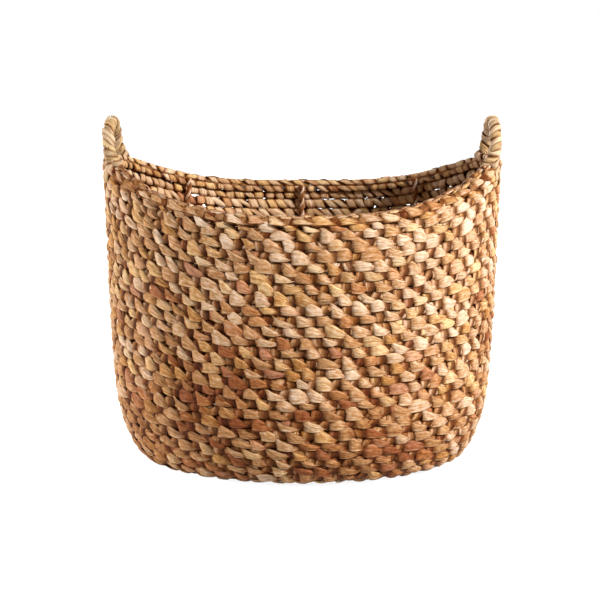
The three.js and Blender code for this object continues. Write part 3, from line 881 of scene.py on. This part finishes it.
def foot_strip(side, end, fan):
    """From a handle's foot down the rim's outer face, drifting fan millimetres along the rim."""
    theta = end * FOOT_ANGLE if side > 0 else math.pi + end * FOOT_ANGLE
    t = np.linspace(0, 1, FOOT_STATIONS)
    seam, normal = middle(WALL_ROWS, theta + end * fan / RIM_HALF[1] * t ** 0.7)
    out, up = FOOT_OUT + FOOT_SPREAD * t, FOOT_HIGH - FOOT_DROP * t
    line = seam + normal * out[:, None] + UP * up[:, None]
    tangent = unit_length(np.gradient(line, axis=0))
    return Strip(line, unit_length(np.cross(normal, tangent)), normal, closed=False)


print("handle arch length:", round(float(handle_strip(1).length), 1))

# %% [markdown]
# ### Turns and feet
# The turns are drawn first, then for each foot the two leaves and the two bands over them.

# %% Handle wraps
TURN_STEP = 7.6
FOOT_FANS, TIE_FAN = (-10, 7), -2
FOOT_LEAF_START, FOOT_LEAF_LENGTHS = 8.0, (20, 25)
TIES, TIE_WIDTH = np.array([3.0, 12.0]), 9.5
FOOT_TONES = (0.4, 0.95)
HANDLE_SEED = 20


def handle(side, seed):
    """The turns of strand on one handle, and the leaves and bands that tie its feet to the rim."""
    rng = np.random.default_rng(seed)
    pile, strip = Pile(), handle_strip(side)
    cord(pile, strip, radius=6.0, centre=0, step=6)
    turns = int(strip.length / TURN_STEP)
    s = (np.arange(turns) + 0.5 + rng.normal(0, 0.13, turns)) * strip.length / turns
    # The turns get painted shade at their sides, where they meet.
    bands(pile, strip, s, rng.uniform(7.8, 10.8, turns), rng, high=rng.uniform(7.3, 8.7, turns),
          out=rng.uniform(7.2, 8.5, turns), inside=8.1, centre=0, pinch=(0.08, 0.22),
          lean=(5.0 * side, 2.2), around=20, core=0.8, seam=1, side_shade=(0.85, 6), tones=(0.08, 0.74))
    for end in (-1, 1):
        for fan in FOOT_FANS:
            start, length = np.array([FOOT_LEAF_START]), np.array([rng.uniform(*FOOT_LEAF_LENGTHS)])
            # The leaves of the feet get little painted shade at their tips.
            leaves(pile, foot_strip(side, end, fan), start, length, rng, half=6.4, rise=0, high=6.2,
                   low=4.6, tip=2.0, tip_shade=(0, 0.3), slant=0.4, tones=FOOT_TONES)
        bands(pile, foot_strip(side, end, TIE_FAN), TIES, TIE_WIDTH, rng, high=7.4, out=5.6, inside=5,
              centre=0, pinch=(0.15, 0.25), lean=(2.5 * side * end, 1), core=0.8, seam=1,
              tones=FOOT_TONES)
    return pile


handles = []
for side, word in ((-1, "left"), (1, "right")):
    pile = handle(side, HANDLE_SEED + side)
    handles.append(place(pile.mesh(f"handle_strands_{word}"), [f"handle_wrap_{word}"]))
    print("handle", word, "faces:", pile.face_count())

# %% [markdown]
# ## Uprights
# Eight uprights stand inside the wall, at even distances along the rim. The real ones look
# like two thin strands laid round each other, one dark and one pale. A striped tube would
# have a straight outline, so both strands are modelled: each is a thin tube whose middle
# goes round the upright's line.

# %% Upright lines
STAKE = 4.0
STAKES = 8
STAKE_TOPS = ((3.6, -1), (4.2, 8))
HOOP_INSET = THICKNESS / 2 + GAP + HOOP / 2
HOOP_HALF = (BASE_HALF[0] - HOOP_INSET, BASE_HALF[1] - HOOP_INSET)
OVAL_STEPS = 4001
BACK_MIDDLE = 0.25


def stake_strip(theta):
    """From the base hoop up the inside of the wall to the rim hoop.

    Each point lies inside the middle of a row by inset, along the row's own inward normal.
    """
    at = np.array([theta])
    inset = THICKNESS / 2 + STAKE / 2 + GAP
    floor = THICKNESS + 2 * GAP + HOOP + STAKE / 2
    line = [oval(at, *HOOP_HALF, floor)[0][0]]
    for level in np.arange(1.0, WALL_ROWS - 1, 1.0):
        low, normal = middle(level, at)
        high, _ = middle(level + 1, at)
        step = (high - low)[0]
        outward = normal[0] * step[2] - UP * (step @ normal[0])
        point = (low + high)[0] / 2 - inset * outward / np.linalg.norm(outward)
        if point[2] > floor + STAKE:
            line.append(point)
    seam, normal = middle(WALL_ROWS, at)
    for inward, up in STAKE_TOPS:
        line.append(seam[0] + normal[0] * (HOOP_LINE - inward) + UP * up)
    line = np.array(line)
    tangent = unit_length(np.gradient(line, axis=0))
    side = unit_length(np.cross(tangent, normal[0]))
    return Strip(line, side, np.cross(tangent, side), closed=False)


def share_angle(share):
    """Angle on the rim's oval after a share of its length, from the middle of the back."""
    turn = np.linspace(0, 2 * np.pi, OVAL_STEPS)
    x, y = RIM_HALF[0] * np.cos(turn), RIM_HALF[1] * np.sin(turn)
    run = np.concatenate([[0], np.cumsum(np.hypot(np.diff(x), np.diff(y)))])
    return float(np.interp((share + BACK_MIDDLE) % 1 * run[-1], run, turn))


print("upright length at the back:", round(float(stake_strip(share_angle(0)).length), 1))

# %% [markdown]
# ### Two strands round each other
# The lay, which is the length of one turn, grows a little from one upright to the next, so
# that no two look the same.

# %% Uprights
LAY = 17
TWIST_AWAY = 1.5
TWIST_RADII, TWIST_TONES, TWIST_AGE = (2.5, 2.0), (0.06, 0.9), 0.4
TWIST_STEP, TWIST_SIDES = 1.6, 7


def twist(pile, strip, lay):
    """Strands whose middles go round at a = away cos(q), r = away (1 + sin(q)), with q = 2 pi s / lay.

    The second strand is half a turn behind. Both get painted shade where they lie close together.
    """
    stations = int(strip.length / TWIST_STEP)
    s = np.linspace(0, strip.length, stations)[None, :, None]
    turn = np.linspace(0, 2 * np.pi, TWIST_SIDES, endpoint=False)[None, None, :]
    for k, (tone, size) in enumerate(zip(TWIST_TONES, TWIST_RADII)):
        angle = 2 * np.pi * (s / lay + k / len(TWIST_TONES))
        a = TWIST_AWAY * np.cos(angle) + size * np.sin(turn)
        r = TWIST_AWAY * (1 + np.sin(angle)) + size * np.cos(turn)
        u = s[:, :, 0]
        v = np.linspace(0, 2 * np.pi * size, TWIST_SIDES + 1)[None]
        shade = 0.55 + 0.45 * smooth((np.hypot(a, r - TWIST_AWAY) - TWIST_AWAY) / size) + 0 * s
        tone, age = np.array([tone]), np.array([TWIST_AGE])
        pile.add(strip.points(s + 0 * a, a, r), u, v, tone, age, shade, 0 * shade, False)


for k in range(STAKES):
    pile = Pile()
    twist(pile, stake_strip(share_angle(k / STAKES)), lay=LAY + k)
    place(pile.mesh(f"stake_wrapped_{k + 1}"), [f"stake_{k + 1}"])
print("uprights:", STAKES, "faces each:", pile.face_count())

# %% [markdown]
# ## Base hoop and base rods
# A hoop lies on the woven bottom, inside the foot of the wall, and two rods cross the bottom.
# All three are taken to be wound with thin strand, so each is a cord with slanting ridges.

# %% Base hoop and base rods
BASE_ROD = 4.0
ROD_PLACES = (-60.0, 60.0)
ROD_STATIONS = 60
hoop_line, hoop_normal = oval(THETA, *HOOP_HALF, THICKNESS + GAP + HOOP / 2)
hoop_strip = Strip(hoop_line, np.broadcast_to(UP, hoop_line.shape), hoop_normal)
pile = Pile()
# The wound hoop gets a little painted shade all over, and more in the grooves of its twist.
cord(pile, hoop_strip, radius=HOOP / 2, centre=0, step=1.4, lay=6.0, tone=0.4, painted_light=0.8, sides=10)
place(pile.mesh("base_hoop_wrapped"), ["base_hoop"])
for k, x in enumerate(ROD_PLACES):
    near, far = (corner[1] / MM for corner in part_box(f"base_rod_{k + 1}"))
    y = np.linspace(near, far, ROD_STATIONS)
    line = np.stack([x + 0 * y, y, THICKNESS + GAP + BASE_ROD / 2 + 0 * y], -1)
    ones = np.ones((ROD_STATIONS, 1))
    rod_strip = Strip(line, ones * UP, ones * [1.0, 0, 0], closed=False)
    pile = Pile()
    # The rod gets the same painted shade as the hoop.
    cord(pile, rod_strip, radius=BASE_ROD / 2, centre=0, step=1.1, lay=4.6, tone=0.5, painted_light=0.8, sides=10)
    place(pile.mesh(f"base_rod_wrapped_{k + 1}"), [f"base_rod_{k + 1}"])
print("base hoop length:", round(float(hoop_strip.length)), "pieces so far:", len(pieces))

# %% [markdown]
# ## Materials
# Dried stems differ from strand to strand: most are straw brown, some red or grey brown. An
# image of them would have to be painted or photographed, while nodes can make any number
# from a few colours. Two node groups do it: one gives the fine grain along a strand, the
# other its colour from its own tone and age. First come the helpers that all of them use.


# %% Node helpers
def new_group(name, inputs, outputs):
    """An empty shader node group with named sockets. inputs: (name, type, default)."""
    group = bpy.data.node_groups.new(name, "ShaderNodeTree")
    for word, kind, value in inputs:
        group.interface.new_socket(word, in_out="INPUT", socket_type=kind).default_value = value
    for word, kind in outputs:
        group.interface.new_socket(word, in_out="OUTPUT", socket_type=kind)
    enter = group.nodes.new("NodeGroupInput")
    leave = group.nodes.new("NodeGroupOutput")
    return group, enter, leave


def new_material(name):
    """A material with its nodes, links and main shader."""
    material = bpy.data.materials.new(name)
    material.use_nodes = True
    nodes = material.node_tree.nodes
    return material, nodes, material.node_tree.links, nodes["Principled BSDF"]


def ramp(nodes, links, value, stops):
    """A value turned into a colour by (place, (r, g, b)) stops."""
    node = nodes.new("ShaderNodeValToRGB")
    elements = node.color_ramp.elements
    while len(elements) < len(stops):
        elements.new(0.5)
    for element, (where, colour) in zip(elements, stops):
        element.position = where
        element.color = (*colour, 1)
    links.new(value, node.inputs[0])
    return node.outputs[0]


def math_node(nodes, links, operation, *values, clamp=False):
    """A math node whose inputs are sockets or numbers."""
    node = nodes.new("ShaderNodeMath")
    node.operation = operation
    node.use_clamp = clamp
    for slot, value in zip(node.inputs, values):
        if isinstance(value, (int, float)):
            slot.default_value = value
        else:
            links.new(value, slot)
    return node.outputs[0]


def mix_colour(nodes, links, blend, factor, first, second):
    """A colour mix whose inputs are sockets or values."""
    node = nodes.new("ShaderNodeMix")
    node.data_type = "RGBA"
    node.blend_type = blend
    for slot, value in ((0, factor), (6, first), (7, second)):
        if isinstance(value, bpy.types.NodeSocket):
            links.new(value, node.inputs[slot])
        else:
            node.inputs[slot].default_value = value
    return node.outputs[2]


# %% [markdown]
# ### Grain
# A stem has long streaks, fine ribs, blotches and folds. All are noise on the UV map, which
# is in millimetres, stretched along the strand: each scale is waves a millimetre along it
# and across it, with the noise's detail.

# %% Grain group
GRAINS = {
    "Streak": ((0.045, 0.8, 1), 3),
    "Rib": ((0.03, 1.6, 1), 2),
    "Blotch": ((0.16, 0.24, 1), 4),
    "Fold": ((0.035, 0.42, 1), 1),
}


def build_grain():
    """Noise for each kind of grain, from the strand's UV in millimetres."""
    group, _, leave = new_group("Fibre grain", [], [(word, "NodeSocketFloat") for word in GRAINS])
    nodes, links = group.nodes, group.links
    uv = nodes.new("ShaderNodeUVMap")
    uv.uv_map = "Grain"
    for word, (scale, detail) in GRAINS.items():
        mapping = nodes.new("ShaderNodeMapping")
        mapping.inputs["Scale"].default_value = scale
        links.new(uv.outputs[0], mapping.inputs["Vector"])
        noise = nodes.new("ShaderNodeTexNoise")
        noise.inputs["Scale"].default_value = 1
        noise.inputs["Detail"].default_value = detail
        links.new(mapping.outputs[0], noise.inputs["Vector"])
        links.new(noise.outputs[0], leave.inputs[word])
    return group


grain_group = build_grain()
print("grain outputs:", list(GRAINS))

# %% [markdown]
# ### Colour of a strand
# Three colours, dark, middle and light, are blended by the strand's tone, with streaks and
# blotches added. A painted highlight gives the edges a pale straw colour, the age shifts the
# hue from red brown to yellow, and folds are darker. Last comes painted shade: the colour
# sinks through a shaded brown to the gap's colour where a point lies low in a gap, which the
# lamps don't give between strands this thin.

# %% Colour group
STREAK, BLOTCH = 1.1, 1.2
# A painted highlight in straw colour on the edges, and painted shade through a shaded brown to the gap's
# colour.
HIGHLIGHT_LEVEL, HIGHLIGHT_LEAST = 0.5, 0.2
HIGHLIGHT_STRAW = (0.86, 0.63, 0.395, 1)
PAINTED_SHADE_BROWN = (0.48, 0.31, 0.18, 1)
PLAIN = (1.0, 1.0, 1.0)
TONE_STOPS = [(0.0, (0.0,) * 3), (0.10, (0.15,) * 3), (0.45, (0.5,) * 3), (1.0, PLAIN)]
AGE_STOPS = [(0.0, (0.62, 0.40, 0.34)), (0.035, (0.82, 0.60, 0.48)), (0.09, (0.97, 0.83, 0.70)),
             (0.19, PLAIN), (0.62, PLAIN), (0.78, (1.0, 0.97, 0.82)), (1.0, (1.02, 0.93, 0.64))]
FOLD_STOPS = [(0.28, (0.78, 0.66, 0.55)), (0.40, PLAIN), (1.0, PLAIN)]
# The last colour is the painted shade in the gaps.
COLOUR_INPUTS = {
    "Light": (0.60, 0.40, 0.22, 1),
    "Middle": (0.46, 0.27, 0.13, 1),
    "Dark": (0.25, 0.12, 0.05, 1),
    "Gap shade": (0.075, 0.030, 0.012, 1),
}


def centred(nodes, links, noise, strength):
    """Noise from 0 to 1 made to run from -strength / 2 to strength / 2."""
    return math_node(nodes, links, "MULTIPLY_ADD", noise, strength, -strength / 2)


def two_steps(nodes, links, value):
    """The lower and the upper half of a value, each spread to 0 to 1."""
    lower = math_node(nodes, links, "MULTIPLY", value, 2.0, clamp=True)
    return lower, math_node(nodes, links, "MULTIPLY_ADD", value, 2.0, -1.0, clamp=True)


def build_colour():
    """Colour of a strand from its tone and age and its grain, with painted shade where it lies low in a
    gap.
    """
    group, enter, leave = new_group(
        "Strand colour", [(word, "NodeSocketColor", value) for word, value in COLOUR_INPUTS.items()],
        [("Color", "NodeSocketColor"), ("Height", "NodeSocketFloat"), ("Fold", "NodeSocketFloat")])
    nodes, links = group.nodes, group.links
    grain = nodes.new("ShaderNodeGroup")
    grain.node_tree = grain_group
    values = {}
    for word in VALUE_NAMES:
        node = nodes.new("ShaderNodeAttribute")
        node.attribute_name = word
        values[word] = node.outputs["Fac"]
    level = ramp(nodes, links, values["tone"], TONE_STOPS)
    level = math_node(nodes, links, "ADD", level, centred(nodes, links, grain.outputs["Streak"], STREAK))
    blotch = centred(nodes, links, grain.outputs["Blotch"], BLOTCH)
    level = math_node(nodes, links, "ADD", level, blotch, clamp=True)
    lower, upper = two_steps(nodes, links, level)
    colour = mix_colour(nodes, links, "MIX", lower, enter.outputs["Dark"], enter.outputs["Middle"])
    colour = mix_colour(nodes, links, "MIX", upper, colour, enter.outputs["Light"])
    # Painted highlight: the edges are mixed towards pale straw.
    painted_pale = math_node(nodes, links, "MULTIPLY_ADD", level, HIGHLIGHT_LEVEL, HIGHLIGHT_LEAST)
    painted_pale = math_node(nodes, links, "MULTIPLY", painted_pale, values["edge"])
    colour = mix_colour(nodes, links, "MIX", painted_pale, colour, HIGHLIGHT_STRAW)
    hue = ramp(nodes, links, values["age"], AGE_STOPS)
    colour = mix_colour(nodes, links, "MULTIPLY", 1.0, colour, hue)
    crease = ramp(nodes, links, grain.outputs["Fold"], FOLD_STOPS)
    colour = mix_colour(nodes, links, "MULTIPLY", 1.0, colour, crease)
    # Painted shade: below half, the gap's colour blends into the shaded brown; above half, the shaded brown
    # blends into the full colour.
    near, far = two_steps(nodes, links, values["painted_light"])
    shaded_colour = mix_colour(nodes, links, "MULTIPLY", 1.0, colour, PAINTED_SHADE_BROWN)
    colour = mix_colour(nodes, links, "MIX", far, shaded_colour, colour)
    colour = mix_colour(nodes, links, "MIX", near, enter.outputs["Gap shade"], colour)
    links.new(colour, leave.inputs["Color"])
    links.new(grain.outputs["Rib"], leave.inputs["Height"])
    links.new(grain.outputs["Fold"], leave.inputs["Fold"])
    return group


colour_group = build_colour()
print("nodes in the colour group:", len(colour_group.nodes))

# %% [markdown]
# ### Strand materials
# The weave and the rim are brown stem, and the handles a paler one, a little glossier. Both
# use the same groups with other colours. Folds and ribs are too small to model, so two Bump
# nodes give them, the coarse folds first and the fine ribs over them.

# %% Strand materials
# The last colour of each stem is its painted shade in the gaps.
STEMS = {
    "pale_stem": ({"Light": (0.67, 0.50, 0.335), "Middle": (0.52, 0.35, 0.205),
                   "Dark": (0.28, 0.145, 0.06), "Gap shade": (0.12, 0.045, 0.014)}, 0.55),
    "woven_stem": ({"Light": (0.82, 0.617, 0.45), "Middle": (0.515, 0.26, 0.104),
                    "Dark": (0.235, 0.072, 0.015), "Gap shade": (0.055, 0.012, 0.0015)}, 0.62),
}
BUMPS = {"Fold": (0.7, 0.0018), "Height": (0.6, 0.0010)}
GLOSS_SPREAD, GLOSS_START = 0.25, 0.12
STEM_SPECULAR = 0.09


def strand_material(name, colours, rough):
    """A dried stem: grouped colour, bump of its folds and ribs, and roughness that follows the ribs."""
    material, nodes, links, shader = new_material(name)
    group = nodes.new("ShaderNodeGroup")
    group.node_tree = colour_group
    for word, colour in colours.items():
        group.inputs[word].default_value = (*colour, 1)
    links.new(group.outputs["Color"], shader.inputs["Base Color"])
    normal = None
    for word, (strength, distance) in BUMPS.items():
        node = nodes.new("ShaderNodeBump")
        node.inputs["Strength"].default_value = strength
        node.inputs["Distance"].default_value = distance
        links.new(group.outputs[word], node.inputs["Height"])
        if normal:
            links.new(normal, node.inputs["Normal"])
        normal = node.outputs[0]
    links.new(normal, shader.inputs["Normal"])
    rib = group.outputs["Height"]
    gloss = math_node(nodes, links, "MULTIPLY_ADD", rib, GLOSS_SPREAD, rough - GLOSS_START)
    links.new(gloss, shader.inputs["Roughness"])
    shader.inputs["Specular IOR Level"].default_value = STEM_SPECULAR
    return material


stems = {name: strand_material(name, *look) for name, look in STEMS.items()}
for piece in pieces:
    if piece != hoop_rod:
        piece.data.materials.append(stems["pale_stem" if piece in handles else "woven_stem"])
print("strand materials:", list(stems))

# %% [markdown]
# ### Rods
# The rods are taken to be dark lacquered iron. They hardly show, so small noise in colour
# and gloss is enough. The two handle rods keep their CAD mesh, as a wrap hides them.

# %% Rod material
ROD_NOISE = 300
ROD_STOPS = [(0.3, (0.030, 0.020, 0.014)), (0.7, (0.075, 0.045, 0.028))]
ROD_GLOSS_SPREAD, ROD_ROUGH = 0.3, 0.5


def rod_material():
    """Dark lacquered iron, with small unevenness in its colour and gloss."""
    material, nodes, links, shader = new_material("lacquered_rod")
    place_at = nodes.new("ShaderNodeTexCoord")
    noise = nodes.new("ShaderNodeTexNoise")
    noise.inputs["Scale"].default_value = ROD_NOISE
    links.new(place_at.outputs["Object"], noise.inputs["Vector"])
    links.new(ramp(nodes, links, noise.outputs[0], ROD_STOPS), shader.inputs["Base Color"])
    gloss = math_node(nodes, links, "MULTIPLY_ADD", noise.outputs[0], ROD_GLOSS_SPREAD, ROD_ROUGH)
    links.new(gloss, shader.inputs["Roughness"])
    return material


rod_look = rod_material()
hoop_rod.data.materials.append(rod_look)
for node in ("handle_rod_left", "handle_rod_right"):
    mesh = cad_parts[node].data
    mesh.materials.clear()
    mesh.materials.append(rod_look)
print("rods:", rod_look.name)

# %% [markdown]
# ## Camera
# The photo looks at the front from a little above, through a long lens. Its height and
# distance were fitted to the rim's oval, and FOCAL_PIXELS is the lens in pixels of the
# 600-pixel frame. These lengths are in metres.

# %% Camera
ELEVATION = math.radians(11.3)
DISTANCE = 2.0
AIM_HEIGHT, AIM_SIDE = 0.2014, -0.0025
SENSOR = 36
FOCAL_PIXELS, FRAME_PIXELS = 1580, 600
NEAR_CLIP, FAR_CLIP = 0.05, 50


def look_camera():
    """A camera at DISTANCE from the aim, turned down by ELEVATION."""
    lens = bpy.data.cameras.new("camera")
    camera = bpy.data.objects.new("camera", lens)
    scene.collection.objects.link(camera)
    away, up = DISTANCE * math.cos(ELEVATION), DISTANCE * math.sin(ELEVATION)
    camera.location = (AIM_SIDE, -away, AIM_HEIGHT + up)
    camera.rotation_euler = (math.pi / 2 - ELEVATION, 0, 0)
    lens.sensor_width = SENSOR
    lens.lens = SENSOR * FOCAL_PIXELS / FRAME_PIXELS
    lens.clip_start, lens.clip_end = NEAR_CLIP, FAR_CLIP
    scene.camera = camera
    return camera


print("camera at", [round(v, 3) for v in look_camera().location])

# %% [markdown]
# ## Lamps
# The photo's light comes from the right, from a fairly small lamp: the strands' shadows are
# soft but clear. So a strong lamp stands at the right front and above, a weak low one at the
# left opens the shadows, and a broad one behind lights the inside of the front wall.

# %% Lamps
LIGHT_AIM = (0, 0, 0.2)
LAMPS = [
    ("key", (2.45, -1.65, 1.95), 0.6, 189),
    ("side", (-2.6, -0.1, 0.45), 0.4, 67),
    ("back", (-0.6, 2.8, 0.9), 1.5, 70),
]


def soft_light(name, place_at, size, power):
    """A square area light that looks at the basket's middle."""
    data = bpy.data.lights.new(name, "AREA")
    data.shape = "SQUARE"
    data.size = size
    data.energy = power
    lamp = bpy.data.objects.new(name, data)
    lamp.location = place_at
    lamp.rotation_euler = (Vector(LIGHT_AIM) - Vector(place_at)).to_track_quat("-Z", "Y").to_euler()
    scene.collection.objects.link(lamp)


for lamp in LAMPS:
    soft_light(*lamp)
print("lamps:", [lamp[0] for lamp in LAMPS])

# %% [markdown]
# ## White surroundings
# The photo's background is white, but a white room would wash out the shadows between the
# strands. So the world is white only where the camera, a reflection or a view through glass
# sees it, and a dim even light for everything else.

# %% World
WORLD_STRENGTH = 0.19
WHITE = (1, 1, 1, 1)


def seen_directly(nodes, links):
    """1 for rays from the camera, from a reflection or through glass, and 0 for the rest."""
    path = nodes.new("ShaderNodeLightPath")
    kinds = ("Camera", "Glossy", "Transmission")
    camera, glossy, through = (path.outputs[f"Is {word} Ray"] for word in kinds)
    seen = math_node(nodes, links, "MAXIMUM", camera, glossy)
    return math_node(nodes, links, "MAXIMUM", seen, through)


def build_world():
    """White where it is seen directly, a dimmer even light for everything else."""
    world = bpy.data.worlds.new("studio")
    scene.world = world
    world.use_nodes = True
    nodes, links = world.node_tree.nodes, world.node_tree.links
    nodes.clear()
    out = nodes.new("ShaderNodeOutputWorld")
    mix = nodes.new("ShaderNodeMixShader")
    links.new(seen_directly(nodes, links), mix.inputs[0])
    for slot, strength in ((1, WORLD_STRENGTH), (2, 1)):
        background = nodes.new("ShaderNodeBackground")
        background.inputs["Color"].default_value = WHITE
        background.inputs["Strength"].default_value = strength
        links.new(background.outputs[0], mix.inputs[slot])
    links.new(mix.outputs[0], out.inputs[0])


build_world()
scene.view_settings.view_transform = "Standard"
print("view transform:", scene.view_settings.view_transform)

# %% [markdown]
# ## Floor
# The basket stands on a plain pale floor, which fades into the background in the photo. It
# glows where it is seen directly, so it looks nearly white and still shows a soft shadow,
# while its own grey sends little light back up to the basket.

# %% Floor
FLOOR_HALF, FLOOR_DROP = 6.0, 0.0005
FLOOR_GREY, FLOOR_ROUGH, FLOOR_GLOW = 0.5, 0.9, 0.9


def build_floor():
    """A pale floor, large enough to fill the view, just below the basket."""
    data = bpy.data.meshes.new("floor")
    signs = ((-1, -1), (1, -1), (1, 1), (-1, 1))
    corners = [(x * FLOOR_HALF, y * FLOOR_HALF, -FLOOR_DROP) for x, y in signs]
    data.from_pydata(corners, [], [(0, 1, 2, 3)])
    floor = bpy.data.objects.new("floor", data)
    scene.collection.objects.link(floor)
    material, nodes, links, shader = new_material("floor")
    shader.inputs["Base Color"].default_value = (FLOOR_GREY, FLOOR_GREY, FLOOR_GREY, 1)
    shader.inputs["Roughness"].default_value = FLOOR_ROUGH
    shader.inputs["Specular IOR Level"].default_value = 0.0
    shader.inputs["Emission Color"].default_value = WHITE
    glow = math_node(nodes, links, "MULTIPLY", seen_directly(nodes, links), FLOOR_GLOW)
    links.new(glow, shader.inputs["Emission Strength"])
    data.materials.append(material)


build_floor()
print("floor:", 2 * FLOOR_HALF, "m wide")
